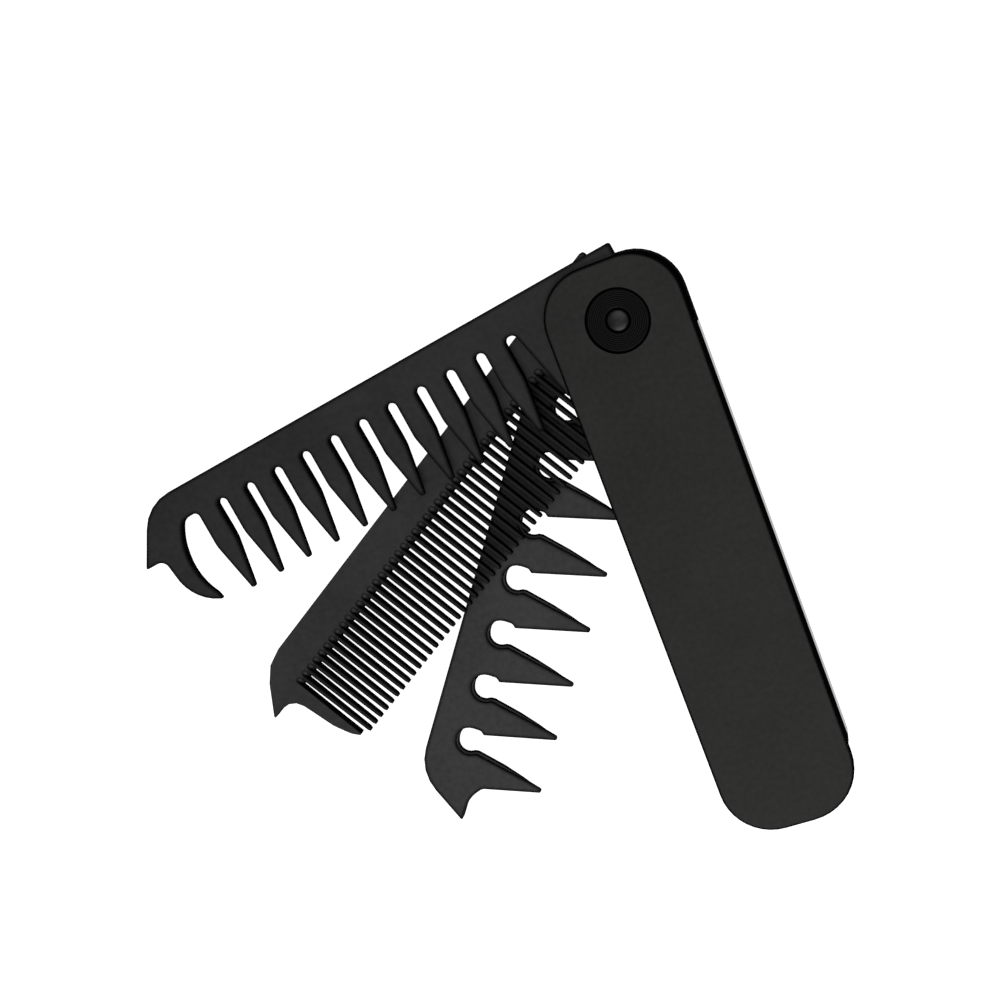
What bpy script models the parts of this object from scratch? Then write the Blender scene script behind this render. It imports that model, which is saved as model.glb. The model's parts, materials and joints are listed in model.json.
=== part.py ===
"""Pocket folding comb: three comb blades turn on one rivet between the two covers of a handle.

Frame: the rivet's axis is X = Y = 0, the handle runs towards -Y and lies on its back, Z = 0.
Sizes are in millimetres and become metres when a mesh is made.
"""
import math

import bmesh
import bpy
from mathutils import Matrix

MM = 0.001

# Stack, from the surface that the comb lies on to the front
BACK_PLATE = 1.7
RUNNING_GAP = 0.3
BLADE_THICKNESS = 3.1
BLADE_GAP = 0.45
FRONT_COVER = 1.8
PARTING_Z = BACK_PLATE + RUNNING_GAP
FINE_Z = PARTING_Z + BLADE_THICKNESS + BLADE_GAP
WIDE_Z = FINE_Z + BLADE_THICKNESS + BLADE_GAP
FRONT_Z = WIDE_Z + BLADE_THICKNESS + RUNNING_GAP
TOTAL_Z = FRONT_Z + FRONT_COVER

# Handle, seen from the front with the pivot at the top
HANDLE_LEFT = -20.0
FRONT_RIGHT = 19.35
BACK_RIGHT = 19.2
HANDLE_TOP = 16.9
FRONT_END = -152.05
BACK_END = -147.6
HANDLE_CORNER = 14.5
END_CORNER_RIGHT = 16.2
FRONT_EDGE_ROUND = 0.9
BACK_EDGE_ROUND = 1.1
WALL_INNER = 17.5
WALL_TOP = -7.95
WALL_END = -133.5

# Pivot
PIN_RADIUS = 2.0
BORE_RADIUS = 2.3
RIVET_HEAD_RADIUS = 2.95
RIVET_TAIL_RADIUS = 3.2
RECESS_RADIUS = 9.1
RECESS_DEPTH = 1.0
WASHER_OUTER = 8.45
WASHER_INNER = 3.55
WASHER_BODY = 0.35
WASHER_RIM = 0.2
RIDGE_COUNT = 8
RIDGE_HEIGHT = 0.18
HEAD_RIM = 0.4
HEAD_DOME = 0.4
TAIL_CHAMFER = 0.2
TAIL_RECESS_RADIUS = 3.5
TAIL_RECESS_DEPTH = 0.9

# Outline that the three blades share: x runs from the pivot to the far end, y towards the teeth
SPINE_Y = -19.64
HEEL_X = -7.6
HEEL_ROUND = 0.8
HUB_RADIUS = 12.0
TIP_Y = 16.8
HOOK_TIP_ROUND = 0.45

# Direction of each blade in the XY plane, from the pivot to its far end, in degrees
WIDE_ANGLE = 188.78
FINE_ANGLE = 211.67
PARTING_ANGLE = 233.08

# Wide comb: eleven slots and a crescent, leaf-shaped teeth
WIDE_SLOTS = 11
WIDE_FIRST = 29.2
WIDE_PITCH = 9.855
WIDE_SLOT_LOW = 1.6
WIDE_SLOT_HIGH = 1.78
WIDE_ROOT_Y = -10.5

# Fine comb: straight narrow teeth, each slot scooped out at its root on both faces
FINE_SLOTS = 43
FINE_LAST = 144.96
FINE_PITCH = 2.8265
FINE_SLOT_HALF = 0.82
FINE_SLOT_FLARE = 0.12
FINE_ROOT_Y = -7.0
FINE_SCOOP_Y = -10.1
FINE_TIP_Y = 17.1

# Parting comb: round holes between teeth that lean towards the pivot
PARTING_GAPS = 7
PARTING_FIRST = 29.62
PARTING_PITCH = 17.48
HOLE_RADIUS = 4.4
HOLE_Y = -7.5
NECK_Y = -4.05
PARTING_END = 147.6

# Ridge half-way through the parting blade, on the sides of its gaps that face the pivot or the teeth
ROOT_RIDGE = 1.1
RIDGE_END_Y = 14.0

BLACK_PLASTIC = (0.028, 0.028, 0.029, 1.0)
COVER_PLASTIC = (0.024, 0.024, 0.024, 1.0)
DEEP_BLACK = (0.008, 0.008, 0.009, 1.0)
DARK_METAL = (0.09, 0.09, 0.09, 1.0)


def clear_scene():
    for item in list(bpy.data.objects):
        bpy.data.objects.remove(item, do_unlink=True)


def material(name, colour, roughness, metallic=0.0):
    made = bpy.data.materials.new(name)
    made.use_nodes = True
    shader = made.node_tree.nodes["Principled BSDF"]
    shader.inputs["Base Color"].default_value = colour
    shader.inputs["Roughness"].default_value = roughness
    shader.inputs["Metallic"].default_value = metallic
    return made


def arc(cx, cy, radius, start, end, steps):
    """Corners (x, y, 0) along an arc; the angles are in degrees."""
    turns = [math.radians(start + (end - start) * i / steps) for i in range(steps + 1)]
    return [(cx + radius * math.cos(t), cy + radius * math.sin(t), 0.0) for t in turns]


def rounded(corners, step=15.0):
    """Closed outline through corners (x, y, radius), each rounded with an arc of its radius."""
    points = []
    count = len(corners)
    for i, (x, y, radius) in enumerate(corners):
        if radius <= 0.0:
            points.append((x, y))
            continue
        ax, ay, _ = corners[i - 1]
        bx, by, _ = corners[(i + 1) % count]
        before = math.atan2(y - ay, x - ax)
        after = math.atan2(by - y, bx - x)
        turn = (after - before + math.pi) % (2 * math.pi) - math.pi
        reach = radius * abs(math.tan(turn / 2))
        sx = x - reach * math.cos(before)
        sy = y - reach * math.sin(before)
        side = 1.0 if turn > 0 else -1.0
        cx = sx - side * radius * math.sin(before)
        cy = sy + side * radius * math.cos(before)
        steps = max(2, round(abs(math.degrees(turn)) / step))
        for k in range(steps + 1):
            t = before - side * math.pi / 2 + turn * k / steps
            points.append((cx + radius * math.cos(t), cy + radius * math.sin(t)))
    return points


def mesh_object(name, body, finish):
    mesh = bpy.data.meshes.new(name)
    bmesh.ops.recalc_face_normals(body, faces=body.faces)
    body.to_mesh(mesh)
    body.free()
    made = bpy.data.objects.new(name, mesh)
    bpy.context.scene.collection.objects.link(made)
    if finish:
        mesh.materials.append(finish)
    return made


def stacked(name, levels, finish=None):
    """Closed body through levels (z, outline), lowest first, all with the same number of points."""
    body = bmesh.new()
    rings = [[body.verts.new((x * MM, y * MM, z * MM)) for x, y in line] for z, line in levels]
    body.faces.new(rings[0][::-1])
    body.faces.new(rings[-1])
    for low, high in zip(rings, rings[1:]):
        for i, vert in enumerate(low):
            j = (i + 1) % len(low)
            body.faces.new((vert, low[j], high[j], high[i]))
    return mesh_object(name, body, finish)


def turned(name, profile, segments, finish=None):
    """Body of revolution about Z from a closed profile of (radius, z); radius 0 is the axis."""
    body = bmesh.new()
    rings = []
    for radius, z in profile:
        if radius == 0.0:
            rings.append([body.verts.new((0.0, 0.0, z * MM))])
            continue
        turns = [2 * math.pi * k / segments for k in range(segments)]
        rings.append([body.verts.new((radius * math.cos(t) * MM, radius * math.sin(t) * MM, z * MM))
                      for t in turns])
    pairs = list(zip(rings, rings[1:] + rings[:1]))
    if len(rings[0]) == 1 and len(rings[-1]) == 1:
        pairs = pairs[:-1]
    for low, high in pairs:
        for k in range(segments):
            j = (k + 1) % segments
            corners = [low[k % len(low)], low[j % len(low)], high[j % len(high)], high[k % len(high)]]
            body.faces.new(list(dict.fromkeys(corners)))
    return mesh_object(name, body, finish)


def shade(item, angle=40.0):
    item.data.shade_smooth()
    item.data.set_sharp_from_angle(angle=math.radians(angle))


def boolean(item, operation, other):
    """EXACT Boolean of item with a hidden helper body."""
    cut = item.modifiers.new(other.name, "BOOLEAN")
    cut.operation = operation
    cut.solver = "EXACT"
    cut.object = other
    other.hide_render = True
    other.display_type = "WIRE"


def edge_round(item, width, low, high):
    """Rounds the outline's edges that lie between two heights."""
    weights = item.data.attributes.new("bevel_weight_edge", "FLOAT", "EDGE")
    for edge in item.data.edges:
        heights = [item.data.vertices[v].co.z / MM for v in edge.vertices]
        weights.data[edge.index].value = 1.0 if low <= min(heights) and max(heights) <= high else 0.0
    bevel = item.modifiers.new("edge_round", "BEVEL")
    bevel.limit_method = "WEIGHT"
    bevel.width = width * MM
    bevel.segments = 3


def handle_outline(right, end):
    return rounded([
        (HANDLE_LEFT, end, HANDLE_CORNER),
        (right, end, END_CORNER_RIGHT),
        (right, HANDLE_TOP, HANDLE_CORNER),
        (HANDLE_LEFT, HANDLE_TOP, HANDLE_CORNER),
    ], step=9.0)


def make_front_cover(finish):
    outline = handle_outline(FRONT_RIGHT, FRONT_END)
    cover = stacked("front_cover", [(FRONT_Z, outline), (TOTAL_Z, outline)], finish)
    edge_round(cover, FRONT_EDGE_ROUND, TOTAL_Z - 0.01, TOTAL_Z + 0.01)
    floor = TOTAL_Z - RECESS_DEPTH
    cutter = turned("front_cover_recess", [
        (0.0, FRONT_Z - 1.0), (BORE_RADIUS, FRONT_Z - 1.0), (BORE_RADIUS, floor),
        (RECESS_RADIUS, floor), (RECESS_RADIUS, TOTAL_Z + 1.0), (0.0, TOTAL_Z + 1.0),
    ], 48)
    boolean(cover, "DIFFERENCE", cutter)
    shade(cover)
    return cover


def make_back_shell(finish):
    outline = handle_outline(BACK_RIGHT, BACK_END)
    shell = stacked("back_shell", [(0.0, outline), (BACK_PLATE, outline)], finish)
    edge_round(shell, BACK_EDGE_ROUND, -0.01, 0.01)
    wall_outline = rounded([
        (WALL_INNER, WALL_END, 0.8),
        (BACK_RIGHT, WALL_END, 0.4),
        (BACK_RIGHT, WALL_TOP, 0.2),
        (WALL_INNER, WALL_TOP, 0.2),
    ], step=30.0)
    wall_foot = BACK_PLATE / 2
    wall = stacked("back_shell_wall", [(wall_foot, wall_outline), (FRONT_Z - RUNNING_GAP, wall_outline)])
    boolean(shell, "UNION", wall)
    cutter = turned("back_shell_recess", [
        (0.0, -1.0), (TAIL_RECESS_RADIUS, -1.0), (TAIL_RECESS_RADIUS, TAIL_RECESS_DEPTH),
        (BORE_RADIUS, TAIL_RECESS_DEPTH), (BORE_RADIUS, BACK_PLATE + 1.0), (0.0, BACK_PLATE + 1.0),
    ], 32)
    boolean(shell, "DIFFERENCE", cutter)
    shade(shell)
    return shell


def make_washer(finish):
    """Flat ring in the cover's round recess, with fine concentric ridges on its face."""
    foot = TOTAL_Z - RECESS_DEPTH + RUNNING_GAP
    valley = foot + WASHER_BODY
    pitch = (WASHER_OUTER - WASHER_INNER - 2 * WASHER_RIM) / RIDGE_COUNT
    profile = [(WASHER_INNER, foot), (WASHER_OUTER, foot), (WASHER_OUTER, valley)]
    for k in range(RIDGE_COUNT):
        outer = WASHER_OUTER - WASHER_RIM - pitch * k
        profile.append((outer, valley))
        profile.append((outer - pitch / 2, valley + RIDGE_HEIGHT))
    profile.append((WASHER_INNER, valley))
    washer = turned("ridged_washer", profile, 40, finish)
    shade(washer, 20.0)
    return washer


def make_rivet(finish):
    """Pin with a low domed head in front and a flat head, flush with the back plate, behind."""
    head_foot = TOTAL_Z - RECESS_DEPTH + RUNNING_GAP
    rim = head_foot + HEAD_RIM
    tail_top = TAIL_RECESS_DEPTH - RUNNING_GAP
    profile = [(0.0, 0.0), (RIVET_TAIL_RADIUS - TAIL_CHAMFER, 0.0),
               (RIVET_TAIL_RADIUS, TAIL_CHAMFER), (RIVET_TAIL_RADIUS, tail_top),
               (PIN_RADIUS, tail_top), (PIN_RADIUS, head_foot), (RIVET_HEAD_RADIUS, head_foot),
               (RIVET_HEAD_RADIUS, rim)]
    for share in (0.9, 0.7, 0.4):
        profile.append((RIVET_HEAD_RADIUS * share, rim + HEAD_DOME * math.sqrt(1 - share * share)))
    profile.append((0.0, rim + HEAD_DOME))
    rivet = turned("pivot_rivet", profile, 28, finish)
    shade(rivet)
    return rivet


def heel(flank):
    """Teeth-side edge of the heel: from the first gap's flank round the hub to the heel's end."""
    hub_side = math.degrees(math.acos(HEEL_X / HUB_RADIUS))
    return flank + [(flank[-1][0] - 2.0, HUB_RADIUS, 0.0)] + arc(0, 0, HUB_RADIUS, 90.0, hub_side, 4)


def wide_outline():
    """Leaf teeth: a slot keeps its width down to the shoulder, then opens towards the tips."""
    centres = [WIDE_FIRST + WIDE_PITCH * k for k in range(WIDE_SLOTS)]
    corners = [
        (HEEL_X, SPINE_Y, HEEL_ROUND),
        (148.85, SPINE_Y, 14.3),
        (159.9, -2.7, HOOK_TIP_ROUND),
        (153.35, -2.7, 2.6),
        (152.9, 1.2, 0.0),
    ]
    corners += arc(138.8, 2.2, 13.95, 2.0, 68.0, 7)
    corners += [(142.75, 15.7, 0.4)]
    corners += arc(126.1, 2.7, 20.25, 31.0, -29.0, 9)
    corners += [(141.9, -10.3, 3.0)]
    next_centre = centres[-1] + WIDE_PITCH + 0.2
    for centre in reversed(centres):
        corners += [
            (next_centre - WIDE_SLOT_LOW, WIDE_ROOT_Y, 1.5),
            (next_centre - WIDE_SLOT_LOW + 0.15, 1.2, 9.0),
            (centre + 5.5, TIP_Y, 0.75),
            (centre + 4.0, TIP_Y, 0.65),
            (centre + WIDE_SLOT_HIGH - 0.05, 1.8, 9.0),
            (centre + WIDE_SLOT_HIGH, WIDE_ROOT_Y, 1.5),
        ]
        next_centre = centre
    flank = [(27.5, WIDE_ROOT_Y, 1.6), (25.1, 0.5, 6.0), (22.6, HUB_RADIUS, 0.8)]
    return rounded(corners + heel(flank))


def fine_outline(root_y):
    """Straight teeth; the slots' roots lie at root_y, deeper on the faces than inside the blade."""
    corners = [
        (HEEL_X, SPINE_Y, HEEL_ROUND),
        (147.5, SPINE_Y, 15.6),
        (160.2, -7.65, 0.4),
        (151.15, -7.65, 5.0),
        (150.35, 0.0, 12.0),
        (149.7, 7.5, 12.0),
        (148.1, 13.1, 6.0),
        (146.0, 16.5, 0.4),
        (146.0, 9.0, 0.0),
    ]
    for k in range(FINE_SLOTS):
        centre = FINE_LAST - FINE_PITCH * k
        left = centre - FINE_SLOT_HALF
        next_right = centre - FINE_PITCH + FINE_SLOT_HALF
        corners += [(centre + FINE_SLOT_HALF, root_y, 0.6), (left, root_y, 0.6)]
        if k < FINE_SLOTS - 1:
            flared = left - FINE_SLOT_FLARE
            corners += [(flared, FINE_TIP_Y - 0.8, 0.0), (flared - 0.3, FINE_TIP_Y, 0.0),
                        (next_right + 0.3, FINE_TIP_Y, 0.0), (next_right, FINE_TIP_Y - 0.8, 0.0)]
    first_left = FINE_LAST - FINE_PITCH * (FINE_SLOTS - 1) - FINE_SLOT_HALF
    flank = [(first_left, 2.0, 0.0), (first_left - 1.2, HUB_RADIUS, 0.8)]
    return rounded(corners + heel(flank), step=30.0)


def parting_outline():
    """Keyhole gaps: a round hole, a neck, then flanks that run to the rounded tips."""
    right_neck, left_neck = 3.4, 3.4
    apex_x, apex_y, tip_round = 7.58, 19.49, 0.71
    centres = [PARTING_FIRST + PARTING_PITCH * k for k in range(PARTING_GAPS)]
    corners = [
        (HEEL_X, SPINE_Y, HEEL_ROUND),
        (148.75, SPINE_Y, 14.3),
        (159.5, -3.0, HOOK_TIP_ROUND),
    ]
    corners += arc(155.1, 7.2, 10.2, -90.0, -128.0, 5)
    corners += [(PARTING_END, 0.1, 1.8)]
    for centre in reversed(centres):
        corners += [(centre + apex_x, apex_y, tip_round), (centre + right_neck, NECK_Y, 0.6)]
        corners += arc(centre, HOLE_Y, HOLE_RADIUS, 38.0, -180.0, 13)
        corners += [(centre - HOLE_RADIUS, -5.2, 1.3), (centre - left_neck, NECK_Y, 0.3)]
    lean = (PARTING_PITCH - left_neck - apex_x) / (apex_y - NECK_Y)
    foot = centres[0] - left_neck - lean * (HUB_RADIUS - NECK_Y)
    return rounded(corners + heel([(foot, HUB_RADIUS, 0.8)]))


def ridge_height(x, y, outwards):
    """How far the ridge stands out from the faces' outline, where that looks outwards in x."""
    if y < HOLE_Y - HOLE_RADIUS - 1.0:
        return 0.0
    along = min(1.0, max(0.0, (x - PARTING_FIRST + 7.0) / 3.0), max(0.0, (PARTING_END - x) / 2.0))
    side = min(1.0, max(0.0, 1.0 - outwards))
    towards_tip = min(1.0, max(0.0, (y - NECK_Y) / (RIDGE_END_Y - NECK_Y)))
    return ROOT_RIDGE * along * side * (1.0 - towards_tip)


def ridged(outline, height):
    """Outline with each of its points moved outwards by height(x, y, outward direction's x)."""
    points = []
    for i, (x, y) in enumerate(outline):
        ax, ay = outline[i - 1]
        bx, by = outline[(i + 1) % len(outline)]
        span = math.hypot(bx - ax, by - ay)
        nx, ny = (by - ay) / span, (ax - bx) / span
        reach = height(x, y, nx)
        points.append((x + nx * reach, y + ny * reach))
    return points


def thin_teeth(blade, start_x, end_x, section, sides):
    """Cuts the sides (1 the front, -1 the back) back along section, rows of (y, thickness)."""
    (y0, t0), (y1, t1) = section[:2]
    lead = (y0 - 0.5, t0 + (t0 - t1) / (y1 - y0) * 0.5)
    (ya, ta), (yb, tb) = section[-2:]
    run_out = (yb + 1.5, tb - (ta - tb) / (yb - ya) * 1.5)
    line = [lead] + section[1:] + [run_out]
    half, clear = BLADE_THICKNESS / 2, BLADE_THICKNESS
    for side in sides:
        tag = "front" if side > 0 else "back"
        body = bmesh.new()
        rows = [(y, side * (half - (BLADE_THICKNESS - thickness) / len(sides)))
                for y, thickness in line]
        rows += [(run_out[0], side * clear), (lead[0], side * clear)]
        ends = [[body.verts.new((x * MM, y * MM, z * MM)) for y, z in rows] for x in (start_x, end_x)]
        body.faces.new(ends[0])
        body.faces.new(ends[1][::-1])
        for i in range(len(rows)):
            j = (i + 1) % len(rows)
            body.faces.new((ends[0][i], ends[0][j], ends[1][j], ends[1][i]))
        cutter = mesh_object(f"{blade.name}_{tag}_taper", body, None)
        cutter.matrix_world = blade.matrix_world
        boolean(blade, "DIFFERENCE", cutter)


def seat_blade(blade, angle, foot):
    """Bores the blade for the rivet and turns it about the pivot to its open position."""
    half = BLADE_THICKNESS / 2
    blade.matrix_world = (Matrix.Translation((0, 0, (foot + half) * MM))
                          @ Matrix.Rotation(math.radians(angle), 4, "Z"))
    bore = turned(f"{blade.name}_bore", [(0.0, -half - 1), (BORE_RADIUS, -half - 1),
                                         (BORE_RADIUS, half + 1), (0.0, half + 1)], 28)
    bore.matrix_world = blade.matrix_world
    boolean(blade, "DIFFERENCE", bore)
    return blade


def make_wide_comb(finish):
    half = BLADE_THICKNESS / 2
    outline = wide_outline()
    blade = stacked("wide_comb", [(-half, outline), (half, outline)], finish)
    seat_blade(blade, WIDE_ANGLE, WIDE_Z)
    thin_teeth(blade, WIDE_FIRST, 165.0, [(-1.0, BLADE_THICKNESS), (TIP_Y, 1.3)], (-1,))
    shade(blade, 30.0)


def make_fine_comb(finish):
    half = BLADE_THICKNESS / 2
    face, inside = fine_outline(FINE_SCOOP_Y), fine_outline(FINE_ROOT_Y)
    blade = stacked("fine_comb", [(-half, face), (0.0, inside), (half, face)], finish)
    seat_blade(blade, FINE_ANGLE, FINE_Z)
    first = FINE_LAST - FINE_PITCH * (FINE_SLOTS - 1)
    thin_teeth(blade, first, FINE_LAST, [(-7.5, BLADE_THICKNESS), (FINE_TIP_Y, 1.9)], (1, -1))
    shade(blade, 30.0)


def make_parting_comb(finish):
    half = BLADE_THICKNESS / 2
    face = parting_outline()
    inside = ridged(face, ridge_height)
    blade = stacked("parting_comb", [(-half, face), (0.0, inside), (half, face)], finish)
    seat_blade(blade, PARTING_ANGLE, PARTING_Z)
    thin_teeth(blade, PARTING_FIRST, 165.0, [(-1.5, BLADE_THICKNESS), (5.0, 2.2), (TIP_Y, 1.0)],
               (-1,))
    shade(blade, 30.0)


def main():
    clear_scene()
    make_front_cover(material("cover_plastic", COVER_PLASTIC, 0.45))
    make_back_shell(material("shell_plastic", COVER_PLASTIC, 0.45))
    make_washer(material("washer_plastic", DEEP_BLACK, 0.35))
    make_rivet(material("rivet_metal", DARK_METAL, 0.35, 1.0))
    make_wide_comb(material("wide_comb_plastic", BLACK_PLASTIC, 0.42))
    make_fine_comb(material("fine_comb_plastic", BLACK_PLASTIC, 0.42))
    make_parting_comb(material("parting_comb_plastic", BLACK_PLASTIC, 0.42))


main()
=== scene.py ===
"""Folding pocket comb: the black moulded plastic of its handle and three blades, and its rivet.

The rivet's axis is X = Y = 0. The handle runs from it towards -Y and lies on its back at Z = 0.
"""

import json
import math

import bpy
from bpy.props import FloatProperty, FloatVectorProperty, IntProperty, PointerProperty
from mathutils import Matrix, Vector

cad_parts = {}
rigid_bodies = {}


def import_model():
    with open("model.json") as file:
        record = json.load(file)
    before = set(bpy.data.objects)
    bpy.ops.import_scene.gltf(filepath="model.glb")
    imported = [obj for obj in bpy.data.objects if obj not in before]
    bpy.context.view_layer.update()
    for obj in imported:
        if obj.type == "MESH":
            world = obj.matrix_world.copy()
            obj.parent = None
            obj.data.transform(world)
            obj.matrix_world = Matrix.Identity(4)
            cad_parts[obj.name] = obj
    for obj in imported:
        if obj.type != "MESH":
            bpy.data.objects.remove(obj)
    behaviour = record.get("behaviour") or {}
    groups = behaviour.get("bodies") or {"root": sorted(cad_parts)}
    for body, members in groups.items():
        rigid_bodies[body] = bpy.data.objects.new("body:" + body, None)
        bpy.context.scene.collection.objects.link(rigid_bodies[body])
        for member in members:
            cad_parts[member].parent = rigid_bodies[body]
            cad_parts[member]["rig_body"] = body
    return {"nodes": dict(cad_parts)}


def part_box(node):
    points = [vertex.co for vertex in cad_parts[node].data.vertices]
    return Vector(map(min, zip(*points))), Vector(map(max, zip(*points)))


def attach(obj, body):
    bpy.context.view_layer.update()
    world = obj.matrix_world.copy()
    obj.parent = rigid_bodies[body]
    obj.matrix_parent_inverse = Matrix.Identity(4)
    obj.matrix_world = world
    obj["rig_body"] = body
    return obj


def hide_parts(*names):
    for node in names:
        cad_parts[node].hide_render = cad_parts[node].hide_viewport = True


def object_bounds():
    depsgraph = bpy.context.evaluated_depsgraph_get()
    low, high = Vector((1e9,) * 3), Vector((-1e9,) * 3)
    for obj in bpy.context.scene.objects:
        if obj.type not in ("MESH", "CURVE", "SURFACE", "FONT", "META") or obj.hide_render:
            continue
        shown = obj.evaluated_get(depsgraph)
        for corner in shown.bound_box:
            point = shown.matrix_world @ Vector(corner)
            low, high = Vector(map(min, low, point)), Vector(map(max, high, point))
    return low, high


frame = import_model()

bl_info = {
    "name": "Folding Comb",
    "version": (1, 0, 0),
    "blender": (4, 5, 0),
    "location": "View3D > Sidebar > Comb",
    "description": "Finishes a packed folding comb and sets a pale studio round it",
    "category": "Object",
}

MM = 0.001

COVER_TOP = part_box("front_cover")[1].z
PARTING_LOW, PARTING_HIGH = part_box("parting_comb")
WASHER_LOW, WASHER_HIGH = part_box("ridged_washer")
RIVET_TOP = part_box("pivot_rivet")[1].z
WHOLE_LOW, WHOLE_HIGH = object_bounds()

# The fine blade's direction in degrees from +X, and its gaps, counted along it from the rivet.
FINE_ANGLE = 211.67
FINE_SLOTS = 43
FINE_PITCH = 2.8265 * MM
FINE_LAST = 144.96 * MM
FINE_FIRST = FINE_LAST - (FINE_SLOTS - 1) * FINE_PITCH

# A mesh face is level above one slope and steep below the other, in how far its normal looks up.
LEVEL_FACE = 0.95
STEEP_FACE = 0.8

# Faces that meet at a smaller angle than this, in degrees, are one flat face.
FLAT_ANGLE = 0.4
RIM_SEGMENTS = 3
BEVEL_SAMPLES = 6

# How softly the looks change into each other, to each side of a limit.
MASK_EDGE = 0.1 * MM
POLISH_EDGE = 0.25 * MM
LIP_HIGHLIGHT_EDGE = 0.05 * MM
LIP_HIGHLIGHT_TOP_EDGE = 0.025 * MM

# Where a look starts and is full, in how far the surface looks up: 0 on a wall, 1 on a level face.
LEVEL = (0.93, 0.995)
RECESS_LEVEL = (0.97, 0.995)
FINE_LEVEL = (0.78, 0.9)
TOOTH_LEVEL = (0.84, 0.96)
# The parting blade's painted highlight band shows on slopes between these.
RIDGE_HIGHLIGHT_LEVEL = (0.2, 0.35)
# The lip's painted highlight line shows where the slope lies between these.
LIP_HIGHLIGHT_START = (0.80, 0.86)
LIP_HIGHLIGHT_END = (0.965, 0.985)

# A scoop's painted highlight in its middle fades between these shares of its radius, and its round
# of painted shade ends there.
SCOOP_HIGHLIGHT = (0.3, 0.8)
SCOOP_SHADE_ROUND = (0.87, 1.0)

# How much the roughness changes with the clouds, the blotches and the grain.
CLOUD_GLOSS = 0.10
MOTTLE_GLOSS = 0.08
GRAIN_GLOSS = 0.12
WASHER_GLOSS = 0.15
RIVET_GLOSS = 0.2


def length(name, description, default):
    return FloatProperty(name=name, description=description, default=default, min=0.0,
                         precision=5, subtype="DISTANCE", unit="LENGTH")


def share(name, description, default, most=1.0):
    return FloatProperty(name=name, description=description, default=default, min=0.0,
                         max=most, precision=4, subtype="FACTOR")


def colour(name, description, default):
    return FloatVectorProperty(name=name, description=description, default=default, min=0.0,
                               max=1.0, precision=4, subtype="COLOR")


def spot(name, description, default):
    return FloatVectorProperty(name=name, description=description, default=default,
                               precision=5, subtype="TRANSLATION", unit="LENGTH")


def power(name, description, default):
    return FloatProperty(name=name, description=description, default=default, min=0.0,
                         unit="POWER")


class CombShapes(bpy.types.PropertyGroup):
    """Sizes of the fine shapes that the moulding and the rivet have, and the reaches of the painted
    shade and painted highlights on the plastic.
    """

    weld: length("Weld", "Corners closer than this are one corner", 0.02 * MM)
    cover_edge: length("Cover edge", "Rounding of the covers' sharp edges", 0.22 * MM)
    blade_edge: length("Blade edge", "Rounding along the wide and parting blades", 0.28 * MM)
    fine_edge: length("Fine tooth edge", "Rounding along the fine blade's teeth", 0.18 * MM)
    # Painted shade: within these reaches of an edge the faces fade into the dark look of the sides.
    cover_shaded_rim: length("Cover rim", "Reach of the bare black rim on the covers", 1.2 * MM)
    blade_shaded_rim: length("Smooth rim", "Reach of the bare black rim along a blade's edges", 2.0 * MM)
    fine_shaded_rim: length("Fine rim", "Reach of the bare black rim on the fine blade", 0.9 * MM)
    plate: length("Back plate", "Thickness of the back plate", 1.7 * MM)
    # Painted highlight: the lip's line lies between these heights.
    lip_highlight_depth: length("Lip depth", "From the plate's inner face down to its lip's line", 0.25 * MM)
    lip_highlight_rise: length("Lip rise", "From the plate's inner face up to the line's end", 0.075 * MM)
    recess_reach: length("Recess reach", "Radius of the recess's grained surround", 12.0 * MM)
    recess_step: length("Recess step", "Depth that parts the cover's face and recess", 0.5 * MM)
    # Painted highlight: the grey band along the parting blade's slopes lies between these heights.
    highlight_band_low: length("Band low", "Where a slope's grey band starts, from mid-blade up", 0.6 * MM)
    highlight_band_high: length("Band high", "Where a slope's grey band ends, from mid-blade up", 1.1 * MM)
    scoop_place: length("Scoop place", "How far the scoops lie towards the spine", 8.9 * MM)
    # Painted shade on the fine blade's teeth and scoop rounds, painted highlight in the scoops'
    # middles.
    scoop_shade_radius: length("Scoop radius", "Radius of the dark round of each scoop", 1.15 * MM)
    tooth_shade_start: length("Tooth start", "From the first gap back to where teeth look dark", 1.5 * MM)
    tooth_shade_end: length("Tooth end", "From the last gap on to where teeth look dark", 1.1 * MM)
    polish_top: length("Polish top", "Height that the closed side is polished up to", 5.6 * MM)
    polish_end: length("Polish end", "Distance below the pivot where the polish begins", 8.2 * MM)
    washer_hole: length("Washer hole", "Radius of the hole round the rivet's head", 3.55 * MM)
    washer_rim: length("Washer rim", "Flat border inside the ridges", 0.15 * MM)
    washer_edge: length("Washer edge", "Flat border outside the ridges", 0.15 * MM)
    washer_rings: IntProperty(name="Washer ridges", description="Ridges on the washer's face",
                              default=8, min=1, max=16)
    washer_ridge: length("Ridge height", "Height of the washer's ridges", 0.3 * MM)
    washer_chamfer: length("Washer chamfer", "Chamfer of the washer's corners", 0.05 * MM)
    pin_radius: length("Pin radius", "Radius of the rivet's pin", 2.0 * MM)
    head_radius: length("Head radius", "Radius of the rivet's front head", 2.95 * MM)
    head_rim: length("Head rim", "Height of the front head's straight side", 0.1 * MM)
    head_dome: length("Head dome", "Height of the front head's dome over its side", 0.7 * MM)
    tail_radius: length("Tail radius", "Radius of the rivet's back head", 3.2 * MM)
    tail_height: length("Tail height", "Thickness of the rivet's back head", 0.6 * MM)
    tail_chamfer: length("Tail chamfer", "Chamfer of the rivet's back head", 0.2 * MM)


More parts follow.
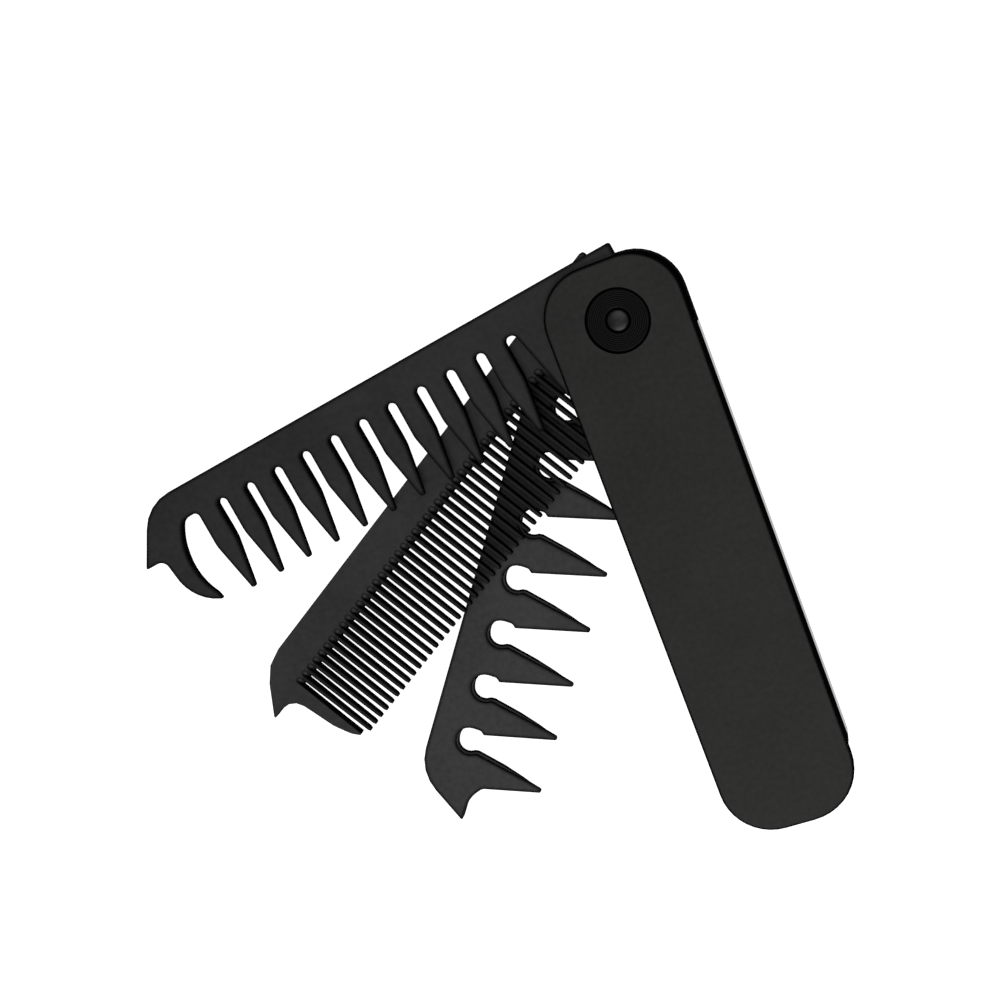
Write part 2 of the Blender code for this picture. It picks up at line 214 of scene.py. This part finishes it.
class CombFinish(bpy.types.PropertyGroup):
    """Colours and gloss of the plastic and the rivet, with the painted shade and painted highlights
    on the plastic.
    """

    cover_face: colour("Cover face", "Grained face of the covers", (0.0215, 0.0213, 0.0205))
    blade_face: colour("Blade face", "Satin face of the blades", (0.0270, 0.0270, 0.0270))
    # Painted shade: the sides, rims and hollows of the mouldings get this darker copy of the
    # plastic.
    shaded_side_wall: colour("Side walls", "Sides of the mouldings", (0.0016, 0.0016, 0.0017))
    washer_ring: colour("Washer", "Ridged washer", (0.0048, 0.0048, 0.0049))
    rivet_metal: colour("Rivet", "Blackened steel of the rivet", (0.034, 0.034, 0.035))
    wide_tone: share("Wide blade's tone", "Brightness of the wide blade's faces", 0.92, 2.0)
    fine_tone: share("Fine blade's tone", "Brightness of the fine blade's faces", 1.15, 2.0)
    parting_tone: share("Parting blade's tone", "Brightness of its faces", 1.55, 2.0)
    cover_roughness: share("Cover roughness", "Roughness of the covers' faces", 0.56)
    blade_roughness: share("Blade roughness", "Roughness of the blades' faces", 0.5)
    side_roughness: share("Side roughness", "Roughness of the mouldings' sides", 0.6)
    spine_roughness: share("Spine roughness", "Roughness of the handle's closed side", 0.22)
    washer_roughness: share("Washer roughness", "Roughness of the washer's ridges", 0.45)
    rivet_roughness: share("Rivet roughness", "Roughness of the rivet's heads", 0.36)
    face_specular: share("Face gloss", "Specular level of the grained faces", 0.16)
    spine_specular: share("Spine gloss", "Specular level of the handle's closed side", 0.4)
    washer_specular: share("Washer gloss", "Specular level of the washer", 0.1)
    cloud_size: length("Cloud size", "Size of the wide clouds on the plastic", 22.0 * MM)
    mottle_size: length("Mottle size", "Size of the small blotches on the plastic", 1.6 * MM)
    grain_size: length("Grain size", "Size of the moulded grain", 0.22 * MM)
    grain_height: length("Grain height", "Height of the moulded grain", 0.02 * MM)
    grain: share("Grain", "Strength of the moulded grain", 0.3)
    face_mottle: share("Face mottle", "How much clouds and blotches show on the faces", 0.7)
    side_mottle: share("Side mottle", "How much the blotches show on the sides and washer", 0.4)
    washer_mottle_size: length("Washer blotches", "Size of the washer's blotches", 0.7 * MM)
    # Painted shade between the washer's ridges, and a painted highlight on their crests.
    washer_valley_shade: share("Washer valleys", "Brightness between the washer's ridges", 0.5)
    washer_crest_highlight: share("Washer crests", "How much brighter the ridges' crests are", 3.0, 10.0)
    rivet_mottle_size: length("Rivet blotches", "Size of the worn blotches on it", 0.9 * MM)
    rivet_mottle: share("Rivet wear", "How much the blotches show on the rivet", 0.7)
    scuff_size: length("Scuff size", "Size of the rivet's fine scuffs", 0.15 * MM)
    scuff_depth: length("Scuff depth", "Depth of the rivet's fine scuffs", 0.01 * MM)
    scuff: share("Scuffs", "Strength of the rivet's fine scuffs", 0.2)
    # Strength of the painted highlight band on the parting blade's slopes.
    slope_highlight_share: share("Slopes", "How much the parting blade's slopes look like its faces", 0.75)
    # Painted highlight in the scoops' middles, and painted shade on the fine teeth.
    scoop_highlight_share: share("Scoops", "How much the middles of the scoops look like the faces", 1.0)
    tooth_lit_share: share("Fine teeth", "How much the fine teeth look like their blade's faces", 0.5)


class CombStage(bpy.types.PropertyGroup):
    """Floor, lights and camera."""

    floor_radius: length("Floor radius", "Radius of the round floor", 3.0)
    floor_gap: length("Floor gap", "How far the floor lies under the comb", 0.1 * MM)
    floor_colour: colour("Floor", "Colour of the floor", (0.5, 0.5, 0.5))
    floor_glow: share("Floor glow", "Light that the floor gives off", 1.0)
    sky: share("Sky", "Light from all round", 0.3)
    key_power: power("Key", "Power of the low light past the handle's end", 2.2)
    key_place: spot("Key place", "Where the low light stands", (-0.12, -0.55, 0.55))
    key_size: length("Key size", "Width of the low light", 0.6)
    fill_power: power("Fill", "Power of the overhead light", 1.6)
    fill_place: spot("Fill place", "Where the overhead light stands", (0.1, 0.25, 0.8))
    fill_size: length("Fill size", "Width of the overhead light", 0.7)
    camera_place: spot("Camera place", "Where the camera stands over the comb",
                       (0.07471, 0.03490, 0.48255))
    camera_turn: FloatVectorProperty(
        name="Camera turn", description="How the camera is turned from straight down",
        default=(math.radians(-13.0997), math.radians(10.7982), math.radians(-21.3434)),
        subtype="EULER", unit="ROTATION")
    lens: FloatProperty(name="Lens", description="Focal length on a 36 mm wide sensor",
                        default=62.756, min=1.0, unit="CAMERA")


def shapes():
    return bpy.context.scene.comb_shapes


def finish():
    return bpy.context.scene.comb_finish


def only(item):
    """Makes item the one selected and active object."""
    if bpy.context.object and bpy.context.object.mode != "OBJECT":
        bpy.ops.object.mode_set(mode="OBJECT")
    bpy.ops.object.select_all(action="DESELECT")
    item.select_set(True)
    bpy.context.view_layer.objects.active = item


def edit(item, kind="EDGE"):
    """Opens item in edit mode with nothing selected."""
    only(item)
    bpy.ops.object.mode_set(mode="EDIT")
    bpy.ops.mesh.select_mode(type=kind)
    bpy.ops.mesh.select_all(action="DESELECT")


def close():
    bpy.ops.object.mode_set(mode="OBJECT")


def moulding(node, name):
    """Copy of a CAD node with its loose triangles welded into whole flat faces."""
    piece = bpy.data.objects.new(name, frame["nodes"][node].data.copy())
    bpy.context.scene.collection.objects.link(piece)
    only(piece)
    bpy.ops.mesh.customdata_custom_splitnormals_clear()
    edit(piece)
    bpy.ops.mesh.select_all(action="SELECT")
    bpy.ops.mesh.remove_doubles(threshold=shapes().weld)
    bpy.ops.mesh.dissolve_limited(angle_limit=math.radians(FLAT_ANGLE))
    close()
    return piece


def round_rims(piece, width):
    """Rounds every edge where a level face meets a steep one."""
    level, steep = set(), set()
    for face in piece.data.polygons:
        slope = abs(face.normal.z)
        if slope > LEVEL_FACE:
            level.update(face.edge_keys)
        elif slope < STEEP_FACE:
            steep.update(face.edge_keys)
    rims = level & steep
    edit(piece)
    close()
    for edge in piece.data.edges:
        edge.select = edge.key in rims
    bpy.ops.object.mode_set(mode="EDIT")
    bpy.ops.mesh.bevel(offset=width, segments=RIM_SEGMENTS, profile=0.5, clamp_overlap=True)
    close()


def smooth(piece, angle=50.0):
    """Smooth shading up to an angle in degrees, with the flat faces kept flat."""
    only(piece)
    bpy.ops.object.shade_smooth_by_angle(angle=math.radians(angle))
    weights = piece.modifiers.new("weights", "WEIGHTED_NORMAL")
    weights.keep_sharp = True
    weights.weight = 60
    bpy.ops.object.modifier_apply(modifier=weights.name)


def raise_top(outline):
    """Extrudes and scales the selected face or ring through rows of (radius, height)."""
    for (radius, height), (new_radius, new_height) in zip(outline, outline[1:]):
        bpy.ops.mesh.extrude_region_move(
            TRANSFORM_OT_translate={"value": (0.0, 0.0, new_height - height)})
        scale = new_radius / radius
        bpy.ops.transform.resize(value=(scale, scale, 1.0), center_override=(0.0, 0.0, 0.0))


def put_in_place(piece, node, material):
    """Gives the piece its finish and lets it stand for its CAD node."""
    piece.data.materials.clear()
    piece.data.materials.append(material)
    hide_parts(node)
    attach(piece, frame["nodes"][node]["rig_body"])


class Wire:
    """A node's output; sums and products of wires and numbers add Math nodes."""

    def __init__(self, tree, socket=None):
        self.tree = tree
        self.socket = socket

    def add(self, kind, settings=None, inputs=None, output=0):
        """Adds a node, sets its settings and then its inputs, and gives back one output."""
        node = self.tree.nodes.new(kind)
        for name, value in (settings or {}).items():
            setattr(node, name, value)
        for name, value in (inputs or {}).items():
            if isinstance(value, Wire):
                self.tree.links.new(value.socket, node.inputs[name])
            else:
                node.inputs[name].default_value = value
        return Wire(self.tree, node.outputs[output]) if node.outputs else None

    def math(self, operation, *values):
        return self.add("ShaderNodeMath", {"operation": operation}, dict(enumerate(values)))

    def along(self, axis):
        """One of a vector's three numbers, by the axis's letter."""
        return self.add("ShaderNodeSeparateXYZ", inputs={"Vector": self}, output=axis)

    def __add__(self, other):
        return self.math("ADD", self, other)

    __radd__ = __add__

    def __sub__(self, other):
        return self.math("SUBTRACT", self, other)

    def __rsub__(self, other):
        return self.math("SUBTRACT", other, self)

    def __mul__(self, other):
        return self.math("MULTIPLY", self, other)

    __rmul__ = __mul__

    def __abs__(self):
        return self.math("ABSOLUTE", self)


def new_material(name):
    """Empty material and a wire to add its first nodes with."""
    made = bpy.data.materials.new(name)
    made.use_nodes = True
    made.node_tree.nodes.clear()
    return made, Wire(made.node_tree)


def speckle(start, place, size, detail=2.0):
    """Noise round 0, from about -0.5 to 0.5, with blotches of a size in metres."""
    noise = start.add("ShaderNodeTexNoise", inputs={"Vector": place, "Scale": 1.0 / size,
                                                    "Detail": detail})
    return noise - 0.5


def tinted(start, base, tint):
    """A colour made lighter or darker by a wire round 1."""
    return start.add("ShaderNodeVectorMath", {"operation": "SCALE"},
                     {0: tuple(base), "Scale": tint})


def soft_slope(start, reach):
    """How far the surface looks up or down, averaged over a reach round each point."""
    normal = start.add("ShaderNodeBevel", {"samples": BEVEL_SAMPLES}, {"Radius": reach})
    return abs(normal.along("Z"))


def own_slope(start):
    """How far the surface itself looks up or down at a point."""
    return abs(start.add("ShaderNodeTexCoord", output="Normal").along("Z"))


def distance(start, x, y):
    return start.math("SQRT", x * x + y * y)


def around(limit, softness=MASK_EDGE):
    """Where a soft step over a limit starts and is full."""
    return limit - softness, limit + softness


def step_up(start, value, low, high):
    """Smooth step from 0 at low to 1 at high."""
    return start.add("ShaderNodeMapRange", {"interpolation_type": "SMOOTHSTEP"},
                     {"Value": value, "From Min": low, "From Max": high})


def between(start, value, rise, fall):
    """1 between two limits and 0 outside them, each a pair of where it starts and is full."""
    return step_up(start, value, *rise) * (1.0 - step_up(start, value, *fall))


def beyond(start, place, axis, limit, softness=MASK_EDGE):
    """1 where the place is further along an axis than the limit, 0 before it."""
    low, high = around(limit, softness)
    return start.add("ShaderNodeMapRange", inputs={
        "Value": place.along(axis), "From Min": low, "From Max": high})


def flat_faces(start, place, slope):
    """1 on level faces, 0 on the sides and close to a face's edges, which get painted shade."""
    return step_up(start, slope, *LEVEL)


def faces_to_recess(start, place, slope):
    """Level faces, grained right up to the edge of the pivot's recess."""
    reach = shapes().recess_reach
    away = distance(start, place.along("X"), place.along("Y"))
    near = 1.0 - step_up(start, away, reach - MM, reach)
    return start.math("MAXIMUM", flat_faces(start, place, slope),
                      near * step_up(start, own_slope(start), *RECESS_LEVEL))


def faces_and_ridge_highlight(start, place, slope):
    """Level faces, and fainter a painted highlight band along the slopes round the parting blade's
    holes.
    """
    size = shapes()
    middle = (PARTING_LOW.z + PARTING_HIGH.z) / 2
    height = abs(place.along("Z") - middle)
    band = between(start, height, around(size.highlight_band_low), around(size.highlight_band_high))
    ridge = band * step_up(start, own_slope(start), *RIDGE_HIGHLIGHT_LEVEL)
    return start.math("MAXIMUM", flat_faces(start, place, slope), ridge * finish().slope_highlight_share)


def spine_and_scoop_shading(start, place, slope):
    """The fine blade's spine, its teeth fainter as painted shade, and a painted highlight in the
    middle of each scoop inside a round of painted shade.
    """
    size = shapes()
    turn = math.radians(FINE_ANGLE)
    directions = ((math.cos(turn), math.sin(turn), 0.0), (-math.sin(turn), math.cos(turn), 0.0))
    along, across = [start.add("ShaderNodeVectorMath", {"operation": "DOT_PRODUCT"},
                               {0: place, 1: direction}, output="Value")
                     for direction in directions]
    count = along * (1.0 / FINE_PITCH) + (0.5 - FINE_LAST / FINE_PITCH)
    beside = (start.math("FRACT", count) - 0.5) * FINE_PITCH
    toothed = between(start, along, around(FINE_FIRST - size.tooth_shade_start),
                      around(FINE_LAST + size.tooth_shade_end))
    toothward = across + size.scoop_place
    scoop = distance(start, beside, toothward) * (1.0 / size.scoop_shade_radius)
    # Painted shade over the teeth and the dark round of each scoop.
    roots = start.math("MAXIMUM", step_up(start, toothward, 0.0, 3 * MASK_EDGE),
                       1.0 - step_up(start, scoop, *SCOOP_SHADE_ROUND))
    teeth = toothed * roots
    # Painted highlight in the middle of each scoop.
    scoop_highlight = 1.0 - step_up(start, scoop, *SCOOP_HIGHLIGHT)
    level = (step_up(start, slope, *FINE_LEVEL) * (1.0 - teeth)
             + step_up(start, slope, *TOOTH_LEVEL) * teeth * finish().tooth_lit_share)
    return start.math("MAXIMUM", level, scoop_highlight * toothed * finish().scoop_highlight_share)


def plate_and_lip_highlight(start, place, slope):
    """The back plate's outer face, painted shade over its inner face inside the handle, and a thin
    painted highlight line along the lip round that inner face.
    """
    size = shapes()
    height = place.along("Z")
    # Painted shade over the plate's inner face, inside the handle.
    outer = 1.0 - step_up(start, height, 0.5 * size.plate, 0.6 * size.plate)
    lip = between(start, height, around(size.plate - size.lip_highlight_depth, LIP_HIGHLIGHT_EDGE),
                  around(size.plate + size.lip_highlight_rise, LIP_HIGHLIGHT_TOP_EDGE))
    line = between(start, slope, LIP_HIGHLIGHT_START, LIP_HIGHLIGHT_END)
    return start.math("MAXIMUM", flat_faces(start, place, slope) * outer, lip * line)


def spine_polish(start, place):
    """1 on the lower part of the handle's closed side, from below the pivot on, else 0."""
    size = shapes()
    low = 1.0 - beyond(start, place, "Z", size.polish_top, POLISH_EDGE)
    right = beyond(start, place, "X", WASHER_HIGH.x)
    below = 1.0 - beyond(start, place, "Y", -size.polish_end)
    return low * right * below


def outside_recess_shade(start, place):
    """1 on the front cover's own face, 0 on the floor of its recess, which gets painted shade."""
    return beyond(start, place, "Z", COVER_TOP - shapes().recess_step)


def moulded_plastic(name, face, roughness, rim, shown=flat_faces, polish=None, grained=None):
    """Lit grained face where shown gives 1, else painted shade, a darker copy of the plastic;
    polish and grained narrow either look.
    """
    made, start = new_material(name)
    look = finish()
    place = start.add("ShaderNodeTexCoord", output="Object")
    cloud = speckle(start, place, look.cloud_size, 3.0)
    mottle = speckle(start, place, look.mottle_size)
    grain = speckle(start, place, look.grain_size)
    bump = start.add("ShaderNodeBump", inputs={
        "Strength": look.grain, "Distance": look.grain_height, "Height": grain})
    lit_face_shader = start.add("ShaderNodeBsdfPrincipled", inputs={
        "Base Color": tinted(start, face, 1.0 + (cloud + mottle) * look.face_mottle),
        "Roughness": roughness + cloud * CLOUD_GLOSS + grain * GRAIN_GLOSS,
        "Specular IOR Level": look.face_specular,
        "Normal": bump,
    })
    # Painted shade: the sides and rims are a darker, matt copy of the same plastic.
    shaded_side_colour = tinted(start, look.shaded_side_wall, 1.0 + mottle * look.side_mottle)
    shaded_side_shader = start.add("ShaderNodeBsdfPrincipled", inputs={
        "Base Color": shaded_side_colour,
        "Roughness": look.side_roughness + mottle * MOTTLE_GLOSS,
        "Specular IOR Level": 0.0,
    })
    if polish:
        glossy = start.add("ShaderNodeBsdfPrincipled", inputs={
            "Base Color": shaded_side_colour,
            "Roughness": look.spine_roughness + mottle * MOTTLE_GLOSS,
            "Specular IOR Level": look.spine_specular,
        })
        shaded_side_shader = start.add("ShaderNodeMixShader", inputs={
            0: polish(start, place), 1: shaded_side_shader, 2: glossy})
    # Lit face at 1 and painted shade at 0, averaged over the rim's reach so that each edge gets a
    # dark band.
    level = shown(start, place, soft_slope(start, rim))
    if grained:
        level = level * grained(start, place)
    both = start.add("ShaderNodeMixShader", inputs={0: level, 1: shaded_side_shader, 2: lit_face_shader})
    start.add("ShaderNodeOutputMaterial", inputs={"Surface": both})
    return made


def washer_plastic():
    """Deep black, with painted shade between the ridges and a painted highlight lighter towards
    their crests.
    """
    made, start = new_material("washer_plastic")
    look = finish()
    place = start.add("ShaderNodeTexCoord", output="Object")
    mottle = speckle(start, place, look.washer_mottle_size)
    half_ridge = shapes().washer_ridge / 2
    # Painted shade in the valleys and painted highlight towards the crests, by height.
    crest_highlight = beyond(start, place, "Z", WASHER_HIGH.z - half_ridge, half_ridge)
    tint = crest_highlight * look.washer_crest_highlight + mottle * look.side_mottle + look.washer_valley_shade
    shader = start.add("ShaderNodeBsdfPrincipled", inputs={
        "Base Color": tinted(start, look.washer_ring, tint),
        "Roughness": look.washer_roughness + mottle * WASHER_GLOSS,
        "Specular IOR Level": look.washer_specular,
    })
    start.add("ShaderNodeOutputMaterial", inputs={"Surface": shader})
    return made


def rivet_steel():
    """Blackened steel, a little worn and finely scuffed."""
    made, start = new_material("rivet_steel")
    look = finish()
    place = start.add("ShaderNodeTexCoord", output="Object")
    mottle = speckle(start, place, look.rivet_mottle_size, 3.0)
    scuff = speckle(start, place, look.scuff_size)
    bump = start.add("ShaderNodeBump", inputs={
        "Strength": look.scuff, "Distance": look.scuff_depth, "Height": scuff})
    shader = start.add("ShaderNodeBsdfPrincipled", inputs={
        "Base Color": tinted(start, look.rivet_metal, 1.0 + mottle * look.rivet_mottle),
        "Metallic": 1.0,
        "Roughness": look.rivet_roughness + mottle * RIVET_GLOSS,
        "Normal": bump,
    })
    start.add("ShaderNodeOutputMaterial", inputs={"Surface": shader})
    return made


class COMB_OT_front_cover(bpy.types.Operator):
    """Front cover with its rounded rim and the lip of the pivot's recess"""

    bl_idname = "comb.front_cover"
    bl_label = "Front Cover"

    def execute(self, context):
        cover = moulding("front_cover", "front_cover_fine")
        round_rims(cover, shapes().cover_edge)
        smooth(cover)
        look = finish()
        # Painted shade over the floor of the recess round the washer.
        plastic = moulded_plastic("cover_plastic", look.cover_face, look.cover_roughness,
                                  shapes().cover_shaded_rim, faces_to_recess, grained=outside_recess_shade)
        put_in_place(cover, "front_cover", plastic)
        return {"FINISHED"}


class COMB_OT_back_shell(bpy.types.Operator):
    """Back plate with the polished wall along the handle's closed side"""

    bl_idname = "comb.back_shell"
    bl_label = "Back Shell"

    def execute(self, context):
        shell = moulding("back_shell", "back_shell_fine")
        round_rims(shell, shapes().cover_edge)
        smooth(shell)
        look = finish()
        plastic = moulded_plastic("shell_plastic", look.cover_face, look.cover_roughness,
                                  shapes().cover_shaded_rim, plate_and_lip_highlight, polish=spine_polish)
        put_in_place(shell, "back_shell", plastic)
        return {"FINISHED"}


class COMB_OT_washer(bpy.types.Operator):
    """Ring with concentric ridges in the cover's recess, round the rivet's head"""

    bl_idname = "comb.washer"
    bl_label = "Ridged Washer"

    def execute(self, context):
        size = shapes()
        hole, chamfer = size.washer_hole, size.washer_chamfer
        outer, foot = WASHER_HIGH.x, WASHER_LOW.z
        valley = WASHER_HIGH.z - size.washer_ridge
        field = outer - hole - size.washer_rim - size.washer_edge
        ridge_steps = 6
        steps = size.washer_rings * ridge_steps
        profile = [(outer, foot), (outer, valley - chamfer), (outer - chamfer, valley)]
        for k in range(steps + 1):
            turn = 2 * math.pi * k / ridge_steps
            radius = outer - size.washer_edge - field * k / steps
            profile.append((radius, valley + size.washer_ridge * (1 - math.cos(turn)) / 2))
        profile += [(hole + chamfer, valley), (hole, valley - chamfer), (hole, foot)]
        bpy.ops.object.select_all(action="DESELECT")
        bpy.ops.mesh.primitive_circle_add(vertices=96, radius=outer, fill_type="NOTHING",
                                          location=(0.0, 0.0, foot))
        washer = context.object
        washer.name = washer.data.name = "ridged_washer_fine"
        bpy.ops.object.transform_apply()
        edit(washer)
        bpy.ops.mesh.select_all(action="SELECT")
        raise_top(profile)
        bpy.ops.mesh.select_all(action="DESELECT")
        bpy.ops.mesh.select_non_manifold()
        bpy.ops.mesh.bridge_edge_loops()
        bpy.ops.mesh.select_all(action="SELECT")
        bpy.ops.mesh.normals_make_consistent(inside=False)
        close()
        smooth(washer, 60.0)
        put_in_place(washer, "ridged_washer", washer_plastic())
        return {"FINISHED"}


class COMB_OT_rivet(bpy.types.Operator):
    """Pin with a domed head in front and a flat one behind"""

    bl_idname = "comb.rivet"
    bl_label = "Pivot Rivet"

    def execute(self, context):
        size = shapes()
        chamfer = size.tail_chamfer
        rim = RIVET_TOP - size.head_dome
        foot = rim - size.head_rim
        profile = [(size.tail_radius - chamfer, 0.0), (size.tail_radius, chamfer),
                   (size.tail_radius, size.tail_height), (size.pin_radius, size.tail_height),
                   (size.pin_radius, foot), (size.head_radius, foot), (size.head_radius, rim)]
        rings = 12
        for k in range(1, rings):
            turn = math.pi / 2 * k / rings
            profile.append((size.head_radius * math.cos(turn),
                            rim + size.head_dome * math.sin(turn)))
        bpy.ops.object.select_all(action="DESELECT")
        bpy.ops.mesh.primitive_circle_add(vertices=64, radius=profile[0][0], fill_type="NGON",
                                          location=(0.0, 0.0, 0.0))
        rivet = context.object
        rivet.name = rivet.data.name = "pivot_rivet_fine"
        edit(rivet, "FACE")
        bpy.ops.mesh.select_all(action="SELECT")
        raise_top(profile)
        bpy.ops.mesh.poke()
        bpy.ops.mesh.select_all(action="SELECT")
        bpy.ops.mesh.normals_make_consistent(inside=False)
        close()
        smooth(rivet, 40.0)
        put_in_place(rivet, "pivot_rivet", rivet_steel())
        return {"FINISHED"}


def make_blade(node, edge, rim, tone, shown=flat_faces):
    """A blade from its CAD node with its edges rounded and its faces in satin plastic."""
    blade = moulding(node, f"{node}_fine")
    round_rims(blade, edge)
    smooth(blade)
    look = finish()
    face = [value * tone for value in look.blade_face]
    plastic = moulded_plastic(f"{node}_plastic", face, look.blade_roughness, rim, shown)
    put_in_place(blade, node, plastic)


class COMB_OT_wide_comb(bpy.types.Operator):
    """Front blade with leaf-shaped coarse teeth"""

    bl_idname = "comb.wide_comb"
    bl_label = "Wide Comb"

    def execute(self, context):
        make_blade("wide_comb", shapes().blade_edge, shapes().blade_shaded_rim, finish().wide_tone)
        return {"FINISHED"}


class COMB_OT_fine_comb(bpy.types.Operator):
    """Middle blade with narrow straight teeth"""

    bl_idname = "comb.fine_comb"
    bl_label = "Fine Comb"

    def execute(self, context):
        make_blade("fine_comb", shapes().fine_edge, shapes().fine_shaded_rim, finish().fine_tone,
                   spine_and_scoop_shading)
        return {"FINISHED"}


class COMB_OT_parting_comb(bpy.types.Operator):
    """Back blade with keyhole gaps between pointed teeth"""

    bl_idname = "comb.parting_comb"
    bl_label = "Parting Comb"

    def execute(self, context):
        make_blade("parting_comb", shapes().blade_edge, shapes().blade_shaded_rim,
                   finish().parting_tone, faces_and_ridge_highlight)
        return {"FINISHED"}


def aim(item, target):
    item.rotation_euler = (target - item.location).to_track_quat("-Z", "Y").to_euler()


def soft_light(name, place, target, size, watts):
    bpy.ops.object.light_add(type="AREA", location=place)
    light = bpy.context.object
    light.name = name
    light.data.shape = "DISK"
    light.data.size = size
    light.data.energy = watts
    aim(light, target)


class COMB_OT_stage(bpy.types.Operator):
    """Pale floor, soft lights and the camera over the comb"""

    bl_idname = "comb.stage"
    bl_label = "Stage"

    def execute(self, context):
        stage = context.scene.comb_stage
        bpy.ops.object.select_all(action="DESELECT")
        bpy.ops.mesh.primitive_circle_add(vertices=128, radius=stage.floor_radius,
                                          fill_type="NGON", location=(0.0, 0.0, -stage.floor_gap))
        floor = context.object
        floor.name = "studio_floor"
        made, start = new_material("studio_floor")
        shader = start.add("ShaderNodeBsdfPrincipled", inputs={
            "Base Color": (*stage.floor_colour, 1.0),
            "Roughness": 0.9,
            "Specular IOR Level": 0.0,
            "Emission Color": (1.0, 1.0, 1.0, 1.0),
            "Emission Strength": stage.floor_glow,
        })
        start.add("ShaderNodeOutputMaterial", inputs={"Surface": shader})
        floor.data.materials.append(made)
        middle = (WHOLE_LOW + WHOLE_HIGH) / 2
        soft_light("key_light", stage.key_place, middle, stage.key_size, stage.key_power)
        soft_light("fill_light", stage.fill_place, middle, stage.fill_size, stage.fill_power)
        world = bpy.data.worlds.new("studio")
        world.use_nodes = True
        sky = world.node_tree.nodes["Background"]
        sky.inputs["Color"].default_value = (1.0, 1.0, 1.0, 1.0)
        sky.inputs["Strength"].default_value = stage.sky
        context.scene.world = world
        context.scene.view_settings.view_transform = "Standard"
        bpy.ops.object.camera_add(location=stage.camera_place, rotation=stage.camera_turn)
        camera = context.object
        camera.name = "studio_camera"
        camera.data.sensor_width = 36.0
        camera.data.lens = stage.lens
        context.scene.camera = camera
        return {"FINISHED"}


class COMB_PT_panel(bpy.types.Panel):
    """Lists the comb's pieces and its stage"""

    bl_idname = "COMB_PT_panel"
    bl_label = "Folding Comb"
    bl_space_type = "VIEW_3D"
    bl_region_type = "UI"
    bl_category = "Comb"

    def draw(self, context):
        for group in (context.scene.comb_shapes, context.scene.comb_finish,
                      context.scene.comb_stage):
            box = self.layout.box()
            for name in group.__annotations__:
                box.prop(group, name)
        for operator in OPERATORS:
            self.layout.operator(operator.bl_idname)


OPERATORS = (COMB_OT_front_cover, COMB_OT_back_shell, COMB_OT_washer, COMB_OT_rivet,
             COMB_OT_wide_comb, COMB_OT_fine_comb, COMB_OT_parting_comb, COMB_OT_stage)
CLASSES = (CombShapes, CombFinish, CombStage, *OPERATORS, COMB_PT_panel)


def register():
    for item in CLASSES:
        bpy.utils.register_class(item)
    bpy.types.Scene.comb_shapes = PointerProperty(type=CombShapes)
    bpy.types.Scene.comb_finish = PointerProperty(type=CombFinish)
    bpy.types.Scene.comb_stage = PointerProperty(type=CombStage)


def unregister():
    del bpy.types.Scene.comb_stage
    del bpy.types.Scene.comb_finish
    del bpy.types.Scene.comb_shapes
    for item in reversed(CLASSES):
        bpy.utils.unregister_class(item)


def main():
    register()
    bpy.ops.comb.front_cover()
    bpy.ops.comb.back_shell()
    bpy.ops.comb.washer()
    bpy.ops.comb.rivet()
    bpy.ops.comb.wide_comb()
    bpy.ops.comb.fine_comb()
    bpy.ops.comb.parting_comb()
    bpy.ops.comb.stage()


if __name__ == "__main__":
    main()
